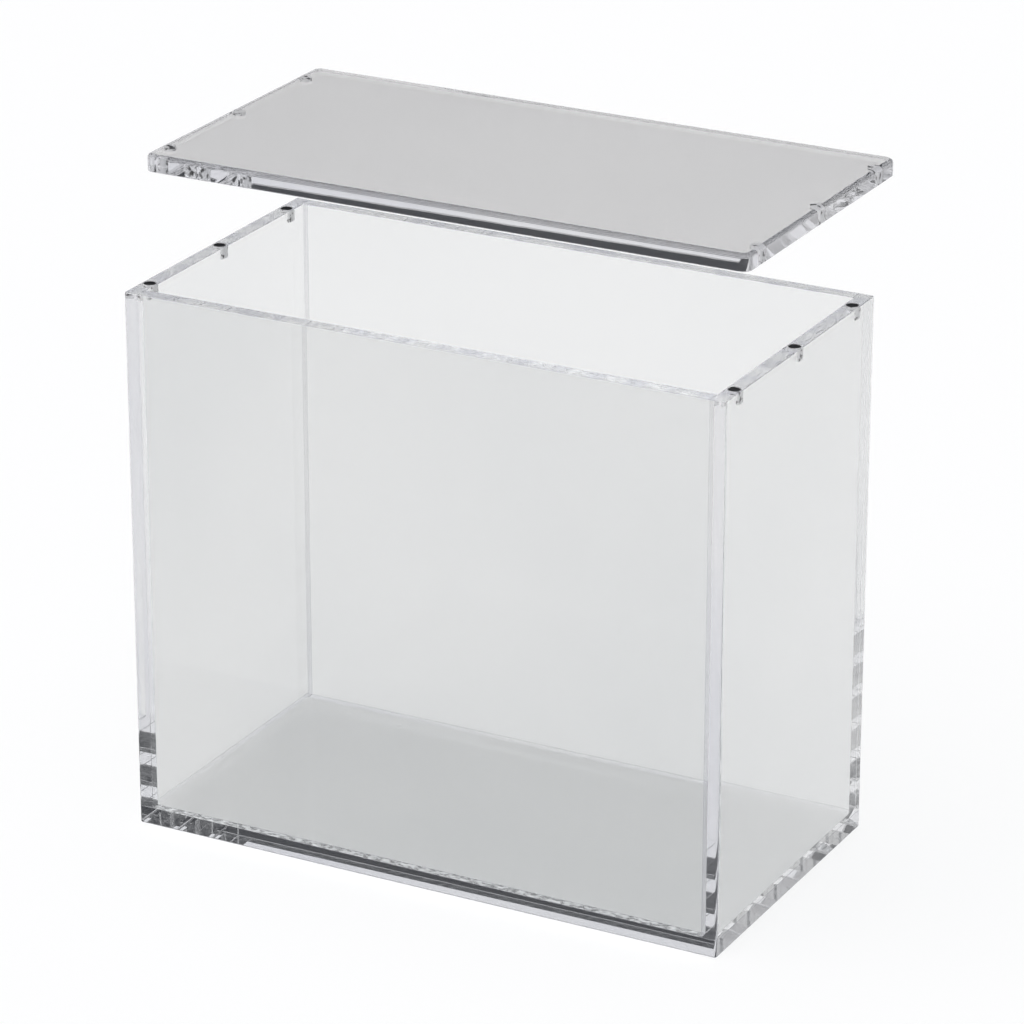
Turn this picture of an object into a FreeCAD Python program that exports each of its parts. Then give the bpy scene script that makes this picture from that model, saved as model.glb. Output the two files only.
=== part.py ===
import FreeCAD, Part
import os
import Sketcher

# Clear acrylic display case with a loose lid that magnets hold down.
# Millimetres, +Z up. The origin is the centre of the base plate's underside, and the front faces -Y.
# The lid is drawn lifted off, above the rim and set back from it.

# Driving dimensions: each alias, its size in millimetres and what it measures.
DIMENSIONS = [
    ("case_width", 204, "outside width of the case, along X"),
    ("case_depth", 105, "outside depth of the case, along Y"),
    ("wall_height", 173, "height of the four walls, from the base plate to the rim"),
    ("wall_thickness", 5, "sheet thickness of the four walls"),
    ("base_thickness", 6, "sheet thickness of the base plate"),
    ("lid_thickness", 5.5, "sheet thickness of the lid"),
    ("lid_lift", 35, "height of the lid's underside above the rim, as drawn"),
    ("lid_setback", 13.5, "distance that the lid stands behind its closed place, as drawn"),
    ("case_edge_round", 0.8, "radius of the four upright corners of the case"),
    ("rim_break", 0.25, "bevel along the top edges of the walls"),
    ("base_edge_break", 0.5, "bevel round the underside of the base plate"),
    ("lid_corner_round", 3, "radius of the lid's four corners, seen from above"),
    ("lid_edge_round", 1.4, "radius of the lid's polished upper edge"),
    ("lid_lower_round", 0.3, "radius of the lid's lower edge, which closes tightly onto the rim"),
    ("magnet_end_inset", 11.1, "distance from the end of a side wall to its outermost magnet"),
    ("magnet_hole_web", 0.45, "acrylic left on each side of a magnet's hole in the wall"),
    ("magnet_hole_clearance", 0.05, "glue gap all round a magnet"),
    ("wall_magnet_hole_depth", 4.1, "depth of the holes in the wall tops"),
    ("lid_magnet_cover", 1.5, "acrylic left above the holes in the lid's underside"),
    ("magnet_recess", 0.1, "depth of a magnet's face below the face that its hole opens in"),
    ("magnet_edge_break", 0.2, "bevel round both ends of a magnet"),
]

# Sizes and places that follow from the driving dimensions.
RIM_HEIGHT = "(Sizes.base_thickness + Sizes.wall_height)"
SIDE_WALL_X = "(Sizes.case_width - Sizes.wall_thickness) / 2"
PANEL_Y = "(Sizes.case_depth - Sizes.wall_thickness) / 2"
PANEL_WIDTH = "Sizes.case_width - 2 * Sizes.wall_thickness"
LID_UNDERSIDE = RIM_HEIGHT + " + Sizes.lid_lift"
MAGNET_ROW_LENGTH = "(Sizes.case_depth - 2 * Sizes.magnet_end_inset)"
MAGNET_HOLE_DIAMETER = "(Sizes.wall_thickness - 2 * Sizes.magnet_hole_web)"
MAGNET_DIAMETER = MAGNET_HOLE_DIAMETER + " - 2 * Sizes.magnet_hole_clearance"
LID_MAGNET_HOLE_DEPTH = "Sizes.lid_thickness - Sizes.lid_magnet_cover"

# A side wall carries one magnet at its middle and one near each end.
MAGNETS_PER_SIDE = 3
SIDES = [("left", -1), ("right", 1)]
ROW_PLACES = [("front", -1), ("middle", 0), ("rear", 1)]

# Two lengths closer than this are the same place on a solid.
SAME_PLACE = 0.001

doc = FreeCAD.newDocument("DisplayCase")
subparts = []


def make_sheet():
    """Writes the driving dimensions into the document's sheet."""
    sheet = doc.addObject("Spreadsheet::Sheet", "Sizes")
    for row, (alias, size, meaning) in enumerate(DIMENSIONS, start=1):
        sheet.set(f"A{row}", meaning)
        sheet.set(f"B{row}", str(size))
        sheet.setAlias(f"B{row}", alias)
    doc.recompute()


def new_body(label, x="0", y="0", z="0"):
    """An empty body with its label, placed by three expressions."""
    body = doc.addObject("PartDesign::Body", label)
    body.Label = label
    for axis, place in zip("xyz", (x, y, z)):
        body.setExpression(f"Placement.Base.{axis}", place)
    subparts.append(body)
    return body


def new_sketch(body, name, height="0"):
    """A sketch parallel to the body's XY plane, at the given height above it."""
    sketch = body.newObject("Sketcher::SketchObject", name)
    planes = [plane for plane in body.Origin.OriginFeatures if plane.Role == "XY_Plane"]
    sketch.AttachmentSupport = [(planes[0], "")]
    sketch.MapMode = "FlatFace"
    sketch.setExpression("AttachmentOffset.Base.z", height)
    return sketch


def draw_rectangle(sketch, width, depth):
    """A rectangle about the sketch's origin, with its two sizes bound to expressions."""
    corners = [(-1, -1), (1, -1), (1, 1), (-1, 1)]
    points = [FreeCAD.Vector(x, y, 0) for x, y in corners]
    for side in range(4):
        sketch.addGeometry(Part.LineSegment(points[side], points[(side + 1) % 4]), False)
    for side in range(4):
        sketch.addConstraint(Sketcher.Constraint("Coincident", side, 2, (side + 1) % 4, 1))
    for side, direction in enumerate(["Horizontal", "Vertical", "Horizontal", "Vertical"]):
        sketch.addConstraint(Sketcher.Constraint(direction, side))
    sketch.addConstraint(Sketcher.Constraint("Symmetric", 0, 1, 2, 1, -1, 1))
    bind_constraint(sketch, Sketcher.Constraint("DistanceX", 0, 1, 0, 2, 2), width)
    bind_constraint(sketch, Sketcher.Constraint("DistanceY", 1, 1, 1, 2, 2), depth)


def draw_circle(sketch, diameter, x="0", y="0"):
    """A circle with its diameter and its centre bound to expressions."""
    centre = FreeCAD.Vector(0, 0, 0)
    upwards = FreeCAD.Vector(0, 0, 1)
    circle = sketch.addGeometry(Part.Circle(centre, upwards, 1), False)
    bind_constraint(sketch, Sketcher.Constraint("Diameter", circle, 2), diameter)
    bind_constraint(sketch, Sketcher.Constraint("DistanceX", -1, 1, circle, 3, 0), x)
    bind_constraint(sketch, Sketcher.Constraint("DistanceY", -1, 1, circle, 3, 0), y)


def bind_constraint(sketch, constraint, expression):
    """Adds a sizing constraint and binds it to an expression."""
    index = sketch.addConstraint(constraint)
    sketch.setExpression(f"Constraints[{index}]", expression)


def pad(body, sketch, length):
    """Raises a sketch into a solid."""
    feature = body.newObject("PartDesign::Pad", "Pad")
    feature.Profile = sketch
    feature.setExpression("Length", length)
    doc.recompute()
    return feature


def dress_edges(body, kind, size_name, size, wanted):
    """Rounds or bevels the edges that wanted() picks from the body's solid as it stands."""
    base = body.Tip
    names = [f"Edge{number}" for number, edge in enumerate(base.Shape.Edges, start=1) if wanted(edge)]
    feature = body.newObject(f"PartDesign::{kind}", kind)
    feature.Base = (base, names)
    feature.setExpression(size_name, size)
    doc.recompute()
    return feature


def is_upright(edge):
    """True for an edge that runs along Z."""
    first, last = edge.Vertexes[0].Point, edge.Vertexes[-1].Point
    return abs(first.z - last.z) > SAME_PLACE


def is_level_at(edge, height):
    """True for an edge that lies wholly at one height."""
    box = edge.BoundBox
    return abs(box.ZMin - height) < SAME_PLACE and abs(box.ZMax - height) < SAME_PLACE


def top_of(body):
    """Height of the body's solid in its own frame."""
    return body.Tip.Shape.BoundBox.ZMax


def make_base_plate():
    """Flat plate under all four walls, with the case's upright corners and a bevelled underside."""
    body = new_body("base_plate")
    sketch = new_sketch(body, "Footprint")
    draw_rectangle(sketch, "Sizes.case_width", "Sizes.case_depth")
    pad(body, sketch, "Sizes.base_thickness")
    dress_edges(body, "Fillet", "Radius", "Sizes.case_edge_round", is_upright)
    dress_edges(body, "Chamfer", "Size", "Sizes.base_edge_break", lambda edge: is_level_at(edge, 0))


def make_side_wall(side, sign):
    """Wall that runs the full depth of the case, with three blind magnet holes in its top edge."""
    body = new_body(f"{side}_wall", x=f"{sign} * {SIDE_WALL_X}", z="Sizes.base_thickness")
    sketch = new_sketch(body, "Footprint")
    draw_rectangle(sketch, "Sizes.wall_thickness", "Sizes.case_depth")
    pad(body, sketch, "Sizes.wall_height")

    def is_outer_corner(edge):
        return is_upright(edge) and edge.BoundBox.Center.x * sign > 0

    dress_edges(body, "Fillet", "Radius", "Sizes.case_edge_round", is_outer_corner)
    rim = top_of(body)
    dress_edges(body, "Chamfer", "Size", "Sizes.rim_break", lambda edge: is_level_at(edge, rim))
    drill_magnet_row(body, "0", "Sizes.wall_height", "Sizes.wall_magnet_hole_depth", downwards=True)


def make_panel(label, sign):
    """Front or back wall, which fits between the two side walls."""
    body = new_body(label, y=f"{sign} * {PANEL_Y}", z="Sizes.base_thickness")
    sketch = new_sketch(body, "Footprint")
    draw_rectangle(sketch, PANEL_WIDTH, "Sizes.wall_thickness")
    pad(body, sketch, "Sizes.wall_height")
    rim = top_of(body)

    def is_long_rim_edge(edge):
        return is_level_at(edge, rim) and edge.BoundBox.YLength < SAME_PLACE

    dress_edges(body, "Chamfer", "Size", "Sizes.rim_break", is_long_rim_edge)


def make_lid_plate():
    """Flat lid with rounded corners, polished round edges and a row of magnet holes below each short side."""
    body = new_body("lid_plate", y="Sizes.lid_setback", z=LID_UNDERSIDE)
    sketch = new_sketch(body, "Footprint")
    draw_rectangle(sketch, "Sizes.case_width", "Sizes.case_depth")
    pad(body, sketch, "Sizes.lid_thickness")
    dress_edges(body, "Fillet", "Radius", "Sizes.lid_corner_round", is_upright)
    top = top_of(body)
    dress_edges(body, "Fillet", "Radius", "Sizes.lid_edge_round", lambda edge: is_level_at(edge, top))
    dress_edges(body, "Fillet", "Radius", "Sizes.lid_lower_round", lambda edge: is_level_at(edge, 0))
    for side, sign in SIDES:
        drill_magnet_row(body, f"{sign} * {SIDE_WALL_X}", "0", LID_MAGNET_HOLE_DEPTH, downwards=False)


def drill_magnet_row(body, x, height, depth, downwards):
    """Cuts a row of blind holes along Y, the same distance from both ends of the case."""
    before = body.Tip.Shape.Volume
    sketch = new_sketch(body, "MagnetHole", height)
    draw_circle(sketch, MAGNET_HOLE_DIAMETER, x, f"-{MAGNET_ROW_LENGTH} / 2")
    hole = body.newObject("PartDesign::Pocket", "MagnetHolePocket")
    hole.Profile = sketch
    hole.setExpression("Length", depth)
    hole.Reversed = not downwards
    doc.recompute()
    row = body.newObject("PartDesign::LinearPattern", "MagnetHoleRow")
    row.Originals = [hole]
    row.Direction = (sketch, ["V_Axis"])
    row.setExpression("Length", MAGNET_ROW_LENGTH)
    row.Occurrences = MAGNETS_PER_SIDE
    body.Tip = row
    doc.recompute()
    first_cut = before - hole.Shape.Volume
    whole_cut = before - row.Shape.Volume
    if first_cut <= 0 or whole_cut <= first_cut:
        raise RuntimeError(f"{body.Label}: the magnet holes cut nothing")


def make_magnet(label, x, y, z, height):
    """Short round magnet with bevelled ends."""
    body = new_body(label, x, y, z)
    sketch = new_sketch(body, "Face")
    draw_circle(sketch, MAGNET_DIAMETER)
    pad(body, sketch, height)
    dress_edges(body, "Chamfer", "Size", "Sizes.magnet_edge_break", lambda edge: not is_upright(edge))


def make_magnets():
    """A magnet in each hole of the walls, seated on its floor, and in each hole of the lid, against its roof."""
    for side, sign in SIDES:
        x = f"{sign} * {SIDE_WALL_X}"
        for place, step in ROW_PLACES:
            row_y = f"{step} * {MAGNET_ROW_LENGTH} / 2"
            make_magnet(
                f"{side}_{place}_wall_magnet",
                x,
                row_y,
                RIM_HEIGHT + " - Sizes.wall_magnet_hole_depth",
                "Sizes.wall_magnet_hole_depth - Sizes.magnet_recess",
            )
            make_magnet(
                f"{side}_{place}_lid_magnet",
                x,
                row_y + " + Sizes.lid_setback",
                LID_UNDERSIDE + " + Sizes.magnet_recess",
                LID_MAGNET_HOLE_DEPTH + " - Sizes.magnet_recess",
            )


def check_model():
    """Stops before anything is written if an object failed or a sub-part is not one sound solid."""
    for thing in doc.Objects:
        if "Invalid" in thing.State or "Error" in thing.State:
            raise RuntimeError(f"{thing.Label} failed: {thing.State}")
    for body in subparts:
        shape = body.Shape
        if shape.isNull() or not shape.isValid() or len(shape.Solids) != 1:
            raise RuntimeError(f"{body.Label} is not one sound solid")


def write_parts():
    """Writes each sub-part, in its place, to a file named by its label."""
    os.makedirs("parts", exist_ok=True)
    for body in subparts:
        body.Shape.exportStep(f"parts/{body.Label}.step")


make_sheet()
make_base_plate()
for wall_side, wall_sign in SIDES:
    make_side_wall(wall_side, wall_sign)
make_panel("front_panel", -1)
make_panel("back_panel", 1)
make_lid_plate()
make_magnets()
doc.recompute()
check_model()
write_parts()
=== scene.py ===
import math

import bmesh
import bpy
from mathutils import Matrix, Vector


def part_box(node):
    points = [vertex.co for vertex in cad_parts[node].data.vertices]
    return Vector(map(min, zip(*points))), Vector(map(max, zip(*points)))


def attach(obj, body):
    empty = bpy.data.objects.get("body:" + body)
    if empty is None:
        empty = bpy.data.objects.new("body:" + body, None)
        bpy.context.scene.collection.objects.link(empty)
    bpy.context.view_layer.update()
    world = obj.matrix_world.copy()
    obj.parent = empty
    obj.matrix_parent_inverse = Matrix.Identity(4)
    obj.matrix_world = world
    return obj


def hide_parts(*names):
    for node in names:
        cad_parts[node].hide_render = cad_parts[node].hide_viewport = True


# A clear acrylic display case: a base plate, four welded walls and a loose lid that magnets hold down.
# Metres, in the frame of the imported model: +Z is up, the front faces -Y, and the lid stands lifted off.
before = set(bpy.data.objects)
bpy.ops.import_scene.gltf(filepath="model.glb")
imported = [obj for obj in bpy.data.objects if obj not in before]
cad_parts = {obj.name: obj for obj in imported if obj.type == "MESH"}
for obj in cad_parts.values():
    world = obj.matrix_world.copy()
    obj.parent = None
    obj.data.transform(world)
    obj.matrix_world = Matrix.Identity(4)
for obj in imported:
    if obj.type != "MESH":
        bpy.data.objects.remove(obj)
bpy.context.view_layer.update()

# Base plate
# A flat plate of clear cast acrylic that everything stands on, sawn to size, with polished edges.
# Its underside is bevelled all round, and the four walls are solvent-welded to the border of its top face.
millimetre = 0.001
upright_corner_round = 0.8 * millimetre
underside_bevel = 0.5 * millimetre
seam_break = 0.12 * millimetre
sharpest_bend = 0.02 * millimetre
corner_steps = 6
edge_steps = 4
crease_angle = math.radians(50)
flat_enough = 0.999

base_low, base_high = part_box("base_plate")
wall_inner_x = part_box("right_wall")[0].x
panel_inner_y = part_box("back_panel")[0].y


def outline(low, high, corner_rounds, inset):
    """Points round a plate's footprint, drawn in by the inset, anticlockwise from the front left corner."""
    corners = [
        (low.x, low.y, 1, 1),
        (high.x, low.y, -1, 1),
        (high.x, high.y, -1, -1),
        (low.x, high.y, 1, -1),
    ]
    points = []
    for quarter, (x, y, inwards_x, inwards_y) in enumerate(corners):
        bend = max(corner_rounds[quarter] - inset, sharpest_bend)
        centre_x = x + inwards_x * (inset + bend)
        centre_y = y + inwards_y * (inset + bend)
        for step in range(corner_steps + 1):
            angle = math.pi + (quarter + step / corner_steps) * math.pi / 2
            points.append((centre_x + bend * math.cos(angle), centre_y + bend * math.sin(angle)))
    return points


def side_profile(low, high, bottom_round, top_round):
    """Height and inset of each ring up the side of a plate with rounded lower and upper edges."""
    quarter = [math.pi / 2 * step / edge_steps for step in range(edge_steps + 1)]
    bottom = [(low.z + bottom_round * (1 - math.sin(a)), bottom_round * (1 - math.cos(a))) for a in quarter]
    top = [(high.z - top_round * (1 - math.sin(a)), top_round * (1 - math.cos(a))) for a in quarter]
    return bottom[::-1] + top


def plate(low, high, corner_rounds, bottom_round, top_round, sheet_axis):
    """A closed plate cut from sheet, with its upright corners and its lower and upper edges rounded."""
    shape = bmesh.new()
    rings = []
    for height, inset in side_profile(low, high, bottom_round, top_round):
        points = outline(low, high, corner_rounds, inset)
        rings.append([shape.verts.new((x, y, height)) for x, y in points])
    for lower, upper in zip(rings, rings[1:]):
        for here in range(len(lower)):
            after = (here + 1) % len(lower)
            shape.faces.new((lower[here], lower[after], upper[after], upper[here]))
    shape.faces.new(rings[0][::-1])
    shape.faces.new(rings[-1])
    shape.normal_update()
    for face in shape.faces:
        if abs(face.normal[sheet_axis]) < flat_enough:
            face.material_index = buffed
    return shape


def faces_towards(shape, direction):
    """The flat faces of a plate that look in one direction."""
    return [face for face in shape.faces if face.normal.dot(direction) > flat_enough]


def score(shape, direction, axis, places):
    """Cuts the flat faces that look in one direction along straight lines across one axis."""
    for place in places:
        faces = faces_towards(shape, direction)
        edges = list(dict.fromkeys(edge for face in faces for edge in face.edges))
        corners = list(dict.fromkeys(corner for face in faces for corner in face.verts))
        point = Vector()
        point[axis] = place
        across = Vector()
        across[axis] = 1
        bmesh.ops.bisect_plane(shape, geom=corners + edges + faces, plane_co=point, plane_no=across)
        shape.normal_update()


up = Vector((0, 0, 1))
# The axes by number, and the place of each finish in a plate's list of materials.
across_x, across_y, across_z = range(3)
polished, buffed, welded, milky, milled, levelled, hazy = range(7)
base = plate(base_low, base_high, [upright_corner_round] * 4, underside_bevel, seam_break, across_z)
weld_inner_x = wall_inner_x + seam_break
weld_inner_y = panel_inner_y + seam_break
score(base, up, across_x, [-weld_inner_x, weld_inner_x])
score(base, up, across_y, [-weld_inner_y, weld_inner_y])
for face in faces_towards(base, up):
    middle = face.calc_center_median()
    if abs(middle.x) > weld_inner_x or middle.y > weld_inner_y:
        face.material_index = welded
    elif middle.y < -weld_inner_y:
        face.material_index = milky


def add(tree, kind, settings=None, **values):
    """A node with its settings and the plain values of its inputs."""
    node = tree.nodes.new(kind)
    for setting, value in (settings or {}).items():
        setattr(node, setting, value)
    for name, value in values.items():
        node.inputs[name.replace("_", " ")].default_value = value
    return node


def group_with(name, inputs, outputs):
    """An empty shader group with its sockets, and the nodes at its two ends."""
    group = bpy.data.node_groups.new(name, "ShaderNodeTree")
    for socket, kind in inputs:
        group.interface.new_socket(socket, in_out="INPUT", socket_type=kind)
    for socket, kind in outputs:
        group.interface.new_socket(socket, in_out="OUTPUT", socket_type=kind)
    return group, group.nodes.new("NodeGroupInput"), group.nodes.new("NodeGroupOutput")


def handling_marks():
    """Wiped smudges that dull a polished face in soft patches."""
    group, start, end = group_with(
        "handling_marks",
        [
            ("Position", "NodeSocketVector"),
            ("Patch Scale", "NodeSocketFloat"),
            ("Clean Roughness", "NodeSocketFloat"),
            ("Smudge Roughness", "NodeSocketFloat"),
        ],
        [("Roughness", "NodeSocketFloat")],
    )
    patches = add(group, "ShaderNodeTexNoise", Detail=4.0, Roughness=0.6, Distortion=0.8)
    wiped = add(group, "ShaderNodeMapRange", {"interpolation_type": "SMOOTHSTEP"})
    wiped.inputs["From Min"].default_value = 0.5
    wiped.inputs["From Max"].default_value = 0.75
    link = group.links.new
    link(start.outputs["Position"], patches.inputs["Vector"])
    link(start.outputs["Patch Scale"], patches.inputs["Scale"])
    link(patches.outputs["Fac"], wiped.inputs["Value"])
    link(start.outputs["Clean Roughness"], wiped.inputs["To Min"])
    link(start.outputs["Smudge Roughness"], wiped.inputs["To Max"])
    link(wiped.outputs["Result"], end.inputs["Roughness"])
    return group


marks = handling_marks()
acrylic_ior = 1.49


def acrylic(name, lighter, darker, tint_scale, patch_scale, roughness, ripple_scale, ripple_depth):
    """Clear acrylic tinted between a lighter and a darker colour in soft clouds, duller in patches, on a
    surface that is not quite flat.
    """
    material = bpy.data.materials.new(name)
    material.use_nodes = True
    tree = material.node_tree
    tree.nodes.clear()
    link = tree.links.new
    place = tree.nodes.new("ShaderNodeTexCoord")
    cloud = add(tree, "ShaderNodeTexNoise", Scale=tint_scale, Detail=2.0)
    depth = add(tree, "ShaderNodeMapRange", {"interpolation_type": "SMOOTHSTEP"})
    depth.inputs["From Min"].default_value = 0.35
    depth.inputs["From Max"].default_value = 0.65
    tint = add(tree, "ShaderNodeMix", {"data_type": "RGBA"})
    tint.inputs["A"].default_value = (*lighter, 1)
    tint.inputs["B"].default_value = (*darker, 1)
    smudges = add(tree, "ShaderNodeGroup", {"node_tree": marks})
    smudges.inputs["Patch Scale"].default_value = patch_scale
    smudges.inputs["Clean Roughness"].default_value = roughness[0]
    smudges.inputs["Smudge Roughness"].default_value = roughness[1]
    ripple = add(tree, "ShaderNodeTexNoise", Scale=ripple_scale, Detail=1.0)
    waviness = add(tree, "ShaderNodeBump", Strength=1.0, Distance=ripple_depth)
    surface = add(tree, "ShaderNodeBsdfPrincipled", IOR=acrylic_ior, Transmission_Weight=1.0)
    through = add(tree, "ShaderNodeBsdfTransparent", Color=(0.975, 0.977, 0.977, 1))
    path = tree.nodes.new("ShaderNodeLightPath")
    lit_through = tree.nodes.new("ShaderNodeMixShader")
    shown = tree.nodes.new("ShaderNodeMixShader")
    end = tree.nodes.new("ShaderNodeOutputMaterial")
    for texture in (cloud, ripple):
        link(place.outputs["Object"], texture.inputs["Vector"])
    link(place.outputs["Object"], smudges.inputs["Position"])
    link(cloud.outputs["Fac"], depth.inputs["Value"])
    link(depth.outputs["Result"], tint.inputs["Factor"])
    link(tint.outputs["Result"], surface.inputs["Base Color"])
    link(smudges.outputs["Roughness"], surface.inputs["Roughness"])
    link(ripple.outputs["Fac"], waviness.inputs["Height"])
    link(waviness.outputs["Normal"], surface.inputs["Normal"])
    link(path.outputs["Is Diffuse Ray"], lit_through.inputs["Fac"])
    link(surface.outputs["BSDF"], lit_through.inputs[1])
    link(through.outputs["BSDF"], lit_through.inputs[2])
    link(path.outputs["Is Shadow Ray"], shown.inputs["Fac"])
    link(lit_through.outputs["Shader"], shown.inputs[1])
    link(through.outputs["BSDF"], shown.inputs[2])
    link(shown.outputs["Shader"], end.inputs["Surface"])
    return material


streak_squeeze = 0.06


def weld_seam(name, clearest, haziest):
    """A solvent weld: the two plates have run into one, apart from a haze in streaks where it ran down."""
    material = bpy.data.materials.new(name)
    material.use_nodes = True
    tree = material.node_tree
    link = tree.links.new
    surface = tree.nodes["Principled BSDF"]
    surface.inputs["Base Color"].default_value = (0.86, 0.87, 0.88, 1)
    surface.inputs["Roughness"].default_value = 0.6
    place = tree.nodes.new("ShaderNodeTexCoord")
    streaks = add(tree, "ShaderNodeMapping", Scale=(1.0, 1.0, streak_squeeze))
    haze = add(tree, "ShaderNodeTexNoise", Scale=420.0, Detail=3.0)
    clearness = add(tree, "ShaderNodeMapRange", {"interpolation_type": "SMOOTHSTEP"})
    clearness.inputs["From Min"].default_value = 0.3
    clearness.inputs["From Max"].default_value = 0.7
    clearness.inputs["To Min"].default_value = clearest
    clearness.inputs["To Max"].default_value = haziest
    through = add(tree, "ShaderNodeBsdfTransparent", Color=(0.98, 0.98, 0.98, 1))
    path = tree.nodes.new("ShaderNodeLightPath")
    shown = tree.nodes.new("ShaderNodeMixShader")
    link(place.outputs["Object"], streaks.inputs["Vector"])
    link(streaks.outputs["Vector"], haze.inputs["Vector"])
    link(haze.outputs["Fac"], clearness.inputs["Value"])
    link(clearness.outputs["Result"], surface.inputs["Alpha"])
    link(path.outputs["Is Shadow Ray"], shown.inputs["Fac"])
    link(surface.outputs["BSDF"], shown.inputs[1])
    link(through.outputs["BSDF"], shown.inputs[2])
    link(shown.outputs["Shader"], tree.nodes["Material Output"].inputs["Surface"])
    return material


def milled_hole():
    """The frosted inside of a milled hole, dark where glue has wetted it and the magnet shows through."""
    material = bpy.data.materials.new("milled_hole")
    material.use_nodes = True
    tree = material.node_tree
    link = tree.links.new
    surface = tree.nodes["Principled BSDF"]
    surface.inputs["IOR"].default_value = acrylic_ior
    surface.inputs["Transmission Weight"].default_value = 0.25
    place = tree.nodes.new("ShaderNodeTexCoord")
    grain = add(tree, "ShaderNodeTexNoise", Scale=3000.0, Detail=3.0)
    pale = add(tree, "ShaderNodeMix", {"data_type": "RGBA"})
    pale.inputs["A"].default_value = (0.84, 0.84, 0.86, 1)
    pale.inputs["B"].default_value = (0.95, 0.95, 0.96, 1)
    frost = add(tree, "ShaderNodeMapRange")
    frost.inputs["To Min"].default_value = 0.3
    frost.inputs["To Max"].default_value = 0.6
    glue = add(tree, "ShaderNodeTexNoise", Scale=650.0, Detail=2.0)
    wetted = add(tree, "ShaderNodeMapRange", {"interpolation_type": "SMOOTHSTEP"})
    wetted.inputs["From Min"].default_value = 0.54
    wetted.inputs["From Max"].default_value = 0.64
    colour = add(tree, "ShaderNodeMix", {"data_type": "RGBA"})
    colour.inputs["B"].default_value = (0.06, 0.06, 0.065, 1)
    for texture in (grain, glue):
        link(place.outputs["Object"], texture.inputs["Vector"])
    link(grain.outputs["Fac"], pale.inputs["Factor"])
    link(grain.outputs["Fac"], frost.inputs["Value"])
    link(glue.outputs["Fac"], wetted.inputs["Value"])
    link(wetted.outputs["Result"], colour.inputs["Factor"])
    link(pale.outputs["Result"], colour.inputs["A"])
    link(colour.outputs["Result"], surface.inputs["Base Color"])
    link(frost.outputs["Result"], surface.inputs["Roughness"])
    return material


case_acrylic = acrylic(
    "clear_case_acrylic",
    lighter=(0.86, 0.864, 0.864),
    darker=(0.84, 0.846, 0.848),
    tint_scale=9.0,
    patch_scale=22.0,
    roughness=(0.0, 0.015),
    ripple_scale=12.0,
    ripple_depth=0.002 * millimetre,
)
# Tinted darker grey than the faces, with a blue cast in the darker colour: painted colour fringes of
# dispersed light along the edges.
buffed_edge_painted_fringes = acrylic(
    "buffed_edge_painted_fringes",
    lighter=(0.75, 0.75, 0.76),
    darker=(0.645, 0.65, 0.695),
    tint_scale=9.0,
    patch_scale=60.0,
    roughness=(0.0, 0.02),
    ripple_scale=40.0,
    ripple_depth=0.0015 * millimetre,
)
# The rim is mottled in small patches between near white and a darker lavender: painted colour fringes of
# dispersed light, darker in patches.
levelled_rim_painted_fringes = acrylic(
    "levelled_rim_painted_fringes",
    lighter=(0.98, 0.98, 0.99),
    darker=(0.72, 0.72, 0.79),
    tint_scale=150.0,
    patch_scale=150.0,
    roughness=(0.0, 0.08),
    ripple_scale=80.0,
    ripple_depth=0.01 * millimetre,
)
clear_seam = weld_seam("clear_weld_seam", clearest=0.01, haziest=0.1)
milky_seam = weld_seam("milky_weld_seam", clearest=0.15, haziest=0.5)
hazy_seam = weld_seam("hazy_weld_seam", clearest=0.14, haziest=0.26)
frosted = milled_hole()


def bake(piece):
    """Makes what the piece's modifiers give its own plain mesh."""
    graph = bpy.context.evaluated_depsgraph_get()
    shaped = piece.evaluated_get(graph)
    plain = bpy.data.meshes.new_from_object(shaped, preserve_all_data_layers=True, depsgraph=graph)
    piece.modifiers.clear()
    piece.data = plain
    plain.name = piece.name


def keep_used_finishes(mesh):
    """Leaves a mesh with only the finishes that its faces have."""
    finish_of_face = [face.material_index for face in mesh.polygons]
    used = sorted(set(finish_of_face))
    finishes = [mesh.materials[finish] for finish in used]
    mesh.materials.clear()
    for finish in finishes:
        mesh.materials.append(finish)
    for face, finish in zip(mesh.polygons, finish_of_face):
        face.material_index = used.index(finish)


def finished(name, shape, clear, edge, holes=None):
    """A plate as a piece of its own, drilled where it has holes, with flat faces and smooth round edges."""
    mesh = bpy.data.meshes.new(name)
    shape.to_mesh(mesh)
    shape.free()
    for finish in (clear, edge, clear_seam, milky_seam, frosted, levelled_rim_painted_fringes, hazy_seam):
        mesh.materials.append(finish)
    piece = bpy.data.objects.new(name, mesh)
    bpy.context.scene.collection.objects.link(piece)
    if holes is not None:
        drill = piece.modifiers.new("drill", "BOOLEAN")
        drill.operation = "DIFFERENCE"
        drill.solver = "EXACT"
        drill.material_mode = "INDEX"
        drill.object = holes
        bake(piece)
    piece.data.shade_smooth()
    piece.data.set_sharp_from_angle(angle=crease_angle)
    flatten = piece.modifiers.new("flatten", "WEIGHTED_NORMAL")
    flatten.keep_sharp = True
    flatten.weight = 100
    bake(piece)
    keep_used_finishes(piece.data)
    return piece


base_piece = finished("clear_base_plate", base, case_acrylic, buffed_edge_painted_fringes)
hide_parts("base_plate")
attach(base_piece, "case")

# Side walls
# Two plates of clear acrylic that run the full depth of the case, welded onto the base plate.
# Three blind holes are milled into the top edge of each, for magnets, and the rim is sanded level.
rim_round = 0.25 * millimetre
glue_gap = 0.05 * millimetre
hole_floor_round = 0.1 * millimetre
drill_overrun = 1 * millimetre
disc_sides = 64
disc_crease_angle = math.radians(30)
down = Vector((0, 0, -1))


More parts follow.
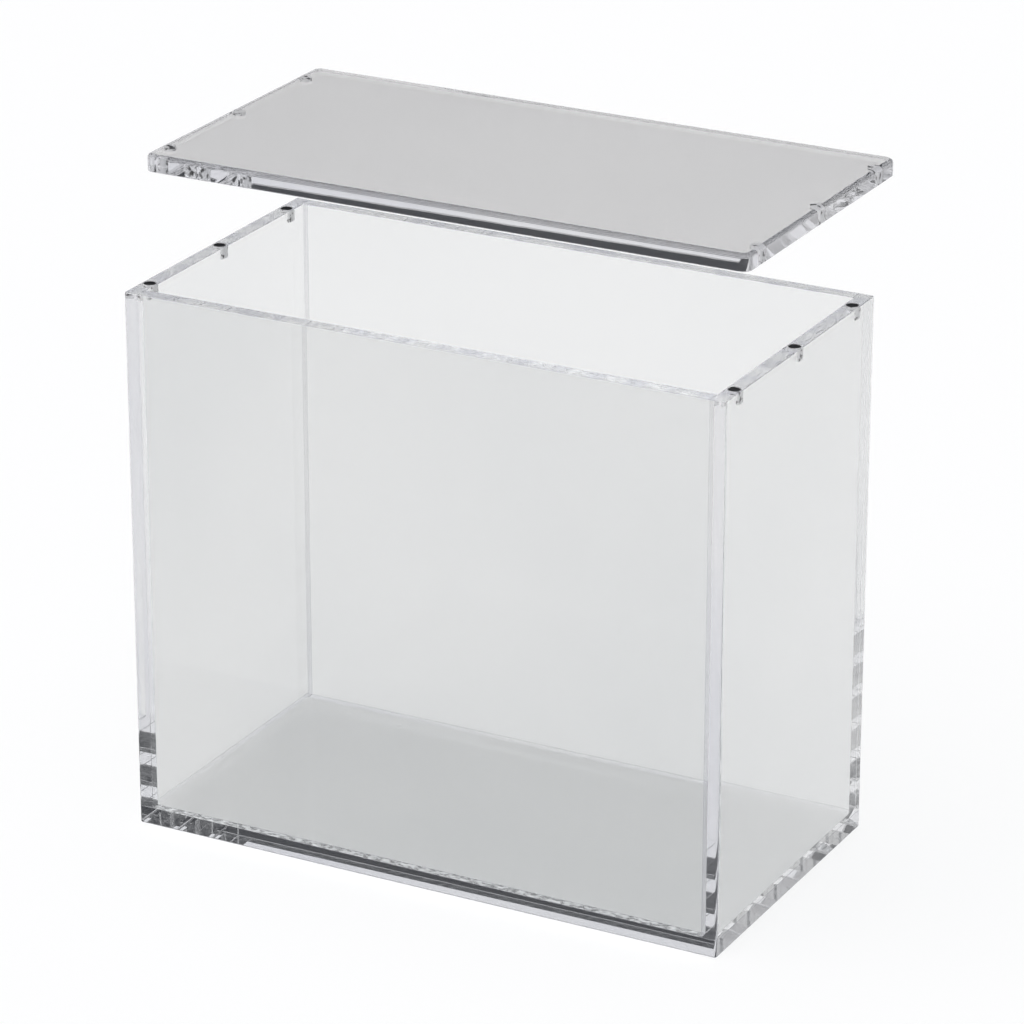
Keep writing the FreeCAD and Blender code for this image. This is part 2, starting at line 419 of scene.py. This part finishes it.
def magnet_rows():
    """A node tree of round discs with bevelled ends, in two rows along Y."""
    tree = bpy.data.node_groups.new("magnet_rows", "GeometryNodeTree")
    sockets = {}
    for name, kind in [
        ("Side Spacing", "NodeSocketFloat"),
        ("Row Length", "NodeSocketFloat"),
        ("Discs Per Row", "NodeSocketInt"),
        ("Diameter", "NodeSocketFloat"),
        ("Height", "NodeSocketFloat"),
        ("Edge Bevel", "NodeSocketFloat"),
        ("Middle", "NodeSocketVector"),
        ("Finish", "NodeSocketMaterial"),
    ]:
        sockets[name] = tree.interface.new_socket(name, in_out="INPUT", socket_type=kind).identifier
    tree.interface.new_socket("Geometry", in_out="OUTPUT", socket_type="NodeSocketGeometry")
    link = tree.links.new
    start = tree.nodes.new("NodeGroupInput")
    end = tree.nodes.new("NodeGroupOutput")

    def reckon(operation, first, second):
        node = add(tree, "ShaderNodeMath", {"operation": operation})
        for slot, value in enumerate((first, second)):
            if isinstance(value, (int, float)):
                node.inputs[slot].default_value = value
            else:
                link(value, node.inputs[slot])
        return node.outputs[0]

    radius = reckon("DIVIDE", start.outputs["Diameter"], 2.0)
    both_bevels = reckon("MULTIPLY", start.outputs["Edge Bevel"], 2.0)
    straight = reckon("SUBTRACT", start.outputs["Height"], both_bevels)
    face_share = reckon("DIVIDE", reckon("SUBTRACT", radius, start.outputs["Edge Bevel"]), radius)
    disc = add(tree, "GeometryNodeMeshCylinder", Vertices=disc_sides)
    link(radius, disc.inputs["Radius"])
    link(straight, disc.inputs["Depth"])
    shape = disc.outputs["Mesh"]
    for which in ("Top", "Bottom"):
        raised = add(tree, "GeometryNodeExtrudeMesh", {"mode": "FACES"})
        narrowed = add(tree, "GeometryNodeScaleElements", {"domain": "FACE"})
        link(shape, raised.inputs["Mesh"])
        link(disc.outputs[which], raised.inputs["Selection"])
        link(start.outputs["Edge Bevel"], raised.inputs["Offset Scale"])
        link(raised.outputs["Mesh"], narrowed.inputs["Geometry"])
        link(raised.outputs["Top"], narrowed.inputs["Selection"])
        link(face_share, narrowed.inputs["Scale"])
        shape = narrowed.outputs["Geometry"]
    places = add(tree, "GeometryNodeMeshGrid", Vertices_X=2)
    link(start.outputs["Side Spacing"], places.inputs["Size X"])
    link(start.outputs["Row Length"], places.inputs["Size Y"])
    link(start.outputs["Discs Per Row"], places.inputs["Vertices Y"])
    rows = tree.nodes.new("GeometryNodeInstanceOnPoints")
    link(places.outputs["Mesh"], rows.inputs["Points"])
    link(shape, rows.inputs["Instance"])
    moved = tree.nodes.new("GeometryNodeTransform")
    link(rows.outputs["Instances"], moved.inputs["Geometry"])
    link(start.outputs["Middle"], moved.inputs["Translation"])
    real = tree.nodes.new("GeometryNodeRealizeInstances")
    link(moved.outputs["Geometry"], real.inputs["Geometry"])
    coated = tree.nodes.new("GeometryNodeSetMaterial")
    link(real.outputs["Geometry"], coated.inputs["Geometry"])
    link(start.outputs["Finish"], coated.inputs["Material"])
    link(coated.outputs["Geometry"], end.inputs["Geometry"])
    return tree, sockets


disc_tree, disc_sockets = magnet_rows()


def disc_rows(name, **sizes):
    """Two rows of discs as one piece with a plain mesh."""
    piece = bpy.data.objects.new(name, bpy.data.meshes.new(name))
    bpy.context.scene.collection.objects.link(piece)
    rows = piece.modifiers.new("rows", "NODES")
    rows.node_group = disc_tree
    for size, value in sizes.items():
        rows[disc_sockets[size.replace("_", " ")]] = value
    bake(piece)
    piece.data.shade_smooth()
    piece.data.set_sharp_from_angle(angle=disc_crease_angle)
    return piece


sides = ("left", "right")
row_places = ("front", "middle", "rear")
magnet_low, magnet_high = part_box("left_front_wall_magnet")
far_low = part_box("right_rear_wall_magnet")[0]
side_spacing = far_low.x - magnet_low.x
row_length = far_low.y - magnet_low.y
magnet_diameter = magnet_high.x - magnet_low.x


def magnet_holes(name, middle_y, lowest, highest):
    """Cutters for the six blind holes of the walls or of the lid, from one height to another."""
    holes = disc_rows(
        name,
        Side_Spacing=side_spacing,
        Row_Length=row_length,
        Discs_Per_Row=len(row_places),
        Diameter=magnet_diameter + 2 * glue_gap,
        Height=highest - lowest,
        Edge_Bevel=hole_floor_round,
        Middle=(0, middle_y, (lowest + highest) / 2),
        Finish=frosted,
    )
    holes.data.materials.clear()
    for finish in (case_acrylic, buffed_edge_painted_fringes, clear_seam, milky_seam, frosted):
        holes.data.materials.append(finish)
    for face in holes.data.polygons:
        face.material_index = milled
    return holes


rim_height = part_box("left_wall")[1].z


def level_rim(shape):
    """Marks the top edge of a plate, which is sanded level with the others after the case is welded."""
    for face in shape.faces:
        if face.calc_center_median().z > rim_height - rim_round:
            face.material_index = levelled


wall_holes = magnet_holes("wall_holes", 0, magnet_low.z, rim_height + drill_overrun)
for side, sign in zip(sides, (-1, 1)):
    wall_low, wall_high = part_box(side + "_wall")
    outer, inner = upright_corner_round, seam_break
    rounds = [outer, inner, inner, outer] if sign < 0 else [inner, outer, outer, inner]
    wall = plate(wall_low, wall_high, rounds, seam_break, rim_round, across_x)
    inwards = Vector((-sign, 0, 0))
    score(wall, inwards, across_y, [-weld_inner_y, weld_inner_y])
    for face in faces_towards(wall, down):
        face.material_index = welded
    for face in faces_towards(wall, inwards):
        middle = face.calc_center_median()
        if middle.y > weld_inner_y:
            face.material_index = hazy
        elif middle.y < -weld_inner_y:
            face.material_index = welded
    level_rim(wall)
    wall_piece = finished(f"clear_{side}_wall", wall, case_acrylic, buffed_edge_painted_fringes, wall_holes)
    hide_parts(side + "_wall")
    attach(wall_piece, "case")
bpy.data.objects.remove(wall_holes)

# Front and back panels
# Two plates of clear acrylic that fit between the side walls, flush with their ends.
# They are welded along both ends and along the base plate, and only their top edges stay free.
for end_name, lower_weld, upright_weld in (("front", milky, welded), ("back", welded, hazy)):
    panel_low, panel_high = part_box(end_name + "_panel")
    panel = plate(panel_low, panel_high, [seam_break] * 4, seam_break, rim_round, across_y)
    for face in faces_towards(panel, down):
        face.material_index = lower_weld
    for sideways in (Vector((1, 0, 0)), Vector((-1, 0, 0))):
        for face in faces_towards(panel, sideways):
            face.material_index = upright_weld
    level_rim(panel)
    panel_piece = finished(f"clear_{end_name}_panel", panel, case_acrylic, buffed_edge_painted_fringes)
    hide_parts(end_name + "_panel")
    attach(panel_piece, "case")

# Wall magnets
# Six small round magnets with a black coating, one in each hole of the wall tops.
# They are glued in just below the rim, so that only their upper faces are bare.
magnet_edge_bevel = 0.2 * millimetre
glue_film = 0.03 * millimetre


def black_coating():
    """Black epoxy coating with a satin surface, rubbed a little brighter where it has been touched."""
    material = bpy.data.materials.new("black_magnet_coating")
    material.use_nodes = True
    tree = material.node_tree
    link = tree.links.new
    surface = tree.nodes["Principled BSDF"]
    place = tree.nodes.new("ShaderNodeTexCoord")
    rubbing = add(tree, "ShaderNodeTexNoise", Scale=900.0, Detail=4.0)
    colour = add(tree, "ShaderNodeMix", {"data_type": "RGBA"})
    colour.inputs["A"].default_value = (0.005, 0.005, 0.006, 1)
    colour.inputs["B"].default_value = (0.016, 0.016, 0.018, 1)
    satin = add(tree, "ShaderNodeMapRange")
    satin.inputs["To Min"].default_value = 0.28
    satin.inputs["To Max"].default_value = 0.5
    link(place.outputs["Object"], rubbing.inputs["Vector"])
    link(rubbing.outputs["Fac"], colour.inputs["Factor"])
    link(rubbing.outputs["Fac"], satin.inputs["Value"])
    link(colour.outputs["Result"], surface.inputs["Base Color"])
    link(satin.outputs["Result"], surface.inputs["Roughness"])
    return material


coating = black_coating()


def magnets(plate_name, body, middle_y, lowest, highest):
    """The six magnets of one body, in two rows, in place of their solids."""
    piece = disc_rows(
        plate_name + "_magnet_discs",
        Side_Spacing=side_spacing,
        Row_Length=row_length,
        Discs_Per_Row=len(row_places),
        Diameter=magnet_diameter,
        Height=highest - lowest,
        Edge_Bevel=magnet_edge_bevel,
        Middle=(0, middle_y, (lowest + highest) / 2),
        Finish=coating,
    )
    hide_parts(*[f"{side}_{place}_{plate_name}_magnet" for side in sides for place in row_places])
    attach(piece, body)


magnets("wall", "case", 0, magnet_low.z + glue_film, magnet_high.z)

# Lid
# A loose flat plate of clear acrylic, cut with round corners and polished edges, that lies on the rim.
# Three blind holes are milled into its underside along each short side, above the magnets of the walls.
lid_corner_round = 3 * millimetre
lid_edge_round = 1.4 * millimetre
lid_lower_round = 0.3 * millimetre
lid_low, lid_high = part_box("lid_plate")
lid_middle_y = (lid_low.y + lid_high.y) / 2
lid_magnet_low, lid_magnet_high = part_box("left_front_lid_magnet")
lid_acrylic = acrylic(
    "clear_lid_acrylic",
    lighter=(0.9, 0.895, 0.897),
    darker=(0.88, 0.875, 0.878),
    tint_scale=9.0,
    patch_scale=22.0,
    roughness=(0.0, 0.015),
    ripple_scale=12.0,
    ripple_depth=0.005 * millimetre,
)
# Tinted darker grey than the lid's faces, with a blue cast in the darker colour: painted colour fringes of
# dispersed light along the edges.
lid_edge_painted_fringes = acrylic(
    "lid_edge_painted_fringes",
    lighter=(0.75, 0.75, 0.76),
    darker=(0.645, 0.65, 0.695),
    tint_scale=9.0,
    patch_scale=60.0,
    roughness=(0.0, 0.02),
    ripple_scale=120.0,
    ripple_depth=0.02 * millimetre,
)
lid_holes = magnet_holes("lid_holes", lid_middle_y, lid_low.z - drill_overrun, lid_magnet_high.z)
lid = plate(lid_low, lid_high, [lid_corner_round] * 4, lid_lower_round, lid_edge_round, across_z)
lid_piece = finished("clear_lid", lid, lid_acrylic, lid_edge_painted_fringes, lid_holes)
bpy.data.objects.remove(lid_holes)
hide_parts("lid_plate")
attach(lid_piece, "lid")

# Lid magnets
# Six more of the same black magnets, glued against the roofs of the holes in the lid.
# They meet the magnets of the walls when the lid is closed, and hold it down.
magnets("lid", "lid", lid_middle_y, lid_magnet_low.z, lid_magnet_high.z - glue_film)

# Floor
# A wide, pale and matt studio floor, which is not part of the case.
# It lies just under the base plate, so that the two faces are not in one plane.
floor_drop = 0.5 * millimetre
floor_reach = 40.0
floor_mesh = bpy.data.meshes.new("floor")
floor_signs = [(-1, -1), (1, -1), (1, 1), (-1, 1)]
floor_corners = [(x * floor_reach, y * floor_reach, -floor_drop) for x, y in floor_signs]
floor_mesh.from_pydata(floor_corners, [], [(0, 1, 2, 3)])
floor = bpy.data.objects.new("floor", floor_mesh)
bpy.context.scene.collection.objects.link(floor)
pale = bpy.data.materials.new("floor")
pale.use_nodes = True
floor_surface = pale.node_tree.nodes["Principled BSDF"]
floor_surface.inputs["Base Color"].default_value = (0.96, 0.96, 0.96, 1)
floor_surface.inputs["Roughness"].default_value = 1.0
floor_surface.inputs["Specular IOR Level"].default_value = 0.0
floor_mesh.materials.append(pale)

# Studio light
# One wide soft lamp overhead, in a dim room, brighter in front on the left and white along the horizon.
# The lamp lights the matt surfaces, but is itself neither mirrored in the acrylic nor seen through it.
lamp = bpy.data.lights.new("soft_lamp", "SUN")
lamp.energy = 2.85
lamp.angle = math.radians(70)
lamp_object = bpy.data.objects.new("soft_lamp", lamp)
lamp_object.rotation_euler = (math.radians(12), math.radians(-8), 0)
bpy.context.scene.collection.objects.link(lamp_object)
lamp_object.visible_glossy = False
lamp_object.visible_transmission = False

surround_top = math.sin(math.radians(4))
dim_bottom = math.sin(math.radians(10))
white_surround = (1, 1, 1, 1)
dim_room = (0.035, 0.038, 0.046, 1)
bright_room = (0.5, 0.5, 0.5, 1)
towards_bright_room = (-0.47, -0.88, 0)
world = bpy.data.worlds.new("studio")
bpy.context.scene.world = world
world.use_nodes = True
sky = world.node_tree
sky_place = sky.nodes.new("ShaderNodeTexCoord")
sky_height = sky.nodes.new("ShaderNodeSeparateXYZ")
sky_fade = add(sky, "ShaderNodeMapRange", {"interpolation_type": "SMOOTHSTEP"})
sky_fade.inputs["From Min"].default_value = surround_top
sky_fade.inputs["From Max"].default_value = dim_bottom
sky_colour = add(sky, "ShaderNodeMix", {"data_type": "RGBA"})
sky_colour.inputs["A"].default_value = white_surround
facing = add(sky, "ShaderNodeVectorMath", {"operation": "DOT_PRODUCT"})
facing.inputs[1].default_value = towards_bright_room
brighter = add(sky, "ShaderNodeMapRange", {"interpolation_type": "SMOOTHSTEP"})
brighter.inputs["From Min"].default_value = 0.1
brighter.inputs["From Max"].default_value = 0.8
room_colour = add(sky, "ShaderNodeMix", {"data_type": "RGBA"})
room_colour.inputs["A"].default_value = dim_room
room_colour.inputs["B"].default_value = bright_room
link = sky.links.new
link(sky_place.outputs["Generated"], facing.inputs[0])
link(facing.outputs["Value"], brighter.inputs["Value"])
link(brighter.outputs["Result"], room_colour.inputs["Factor"])
link(room_colour.outputs["Result"], sky_colour.inputs["B"])
link(sky_place.outputs["Generated"], sky_height.inputs["Vector"])
link(sky_height.outputs["Z"], sky_fade.inputs["Value"])
link(sky_fade.outputs["Result"], sky_colour.inputs["Factor"])
link(sky_colour.outputs["Result"], sky.nodes["Background"].inputs["Color"])

# Camera
# It stands in front of the case, to the right, and looks down on it, as in the photograph.
# Light runs to and fro inside the plates many times before it leaves them, so it is followed for long.
camera_place = (0.6658, -1.24418, 0.67363)
camera_tilt = math.radians(68.13)
camera_turn = math.radians(27.99)
bounces_in_acrylic = 96
faces_seen_through = 128
camera = bpy.data.cameras.new("camera")
camera.lens = 171.94
camera.sensor_width = 36.0
camera_object = bpy.data.objects.new("camera", camera)
camera_object.location = camera_place
camera_object.rotation_euler = (camera_tilt, 0, camera_turn)

scene = bpy.context.scene
scene.collection.objects.link(camera_object)
scene.camera = camera_object
scene.view_settings.view_transform = "Standard"
scene.cycles.max_bounces = bounces_in_acrylic
scene.cycles.transmission_bounces = bounces_in_acrylic
scene.cycles.glossy_bounces = bounces_in_acrylic
scene.cycles.transparent_max_bounces = faces_seen_through
scene.cycles.caustics_reflective = False
scene.cycles.caustics_refractive = False
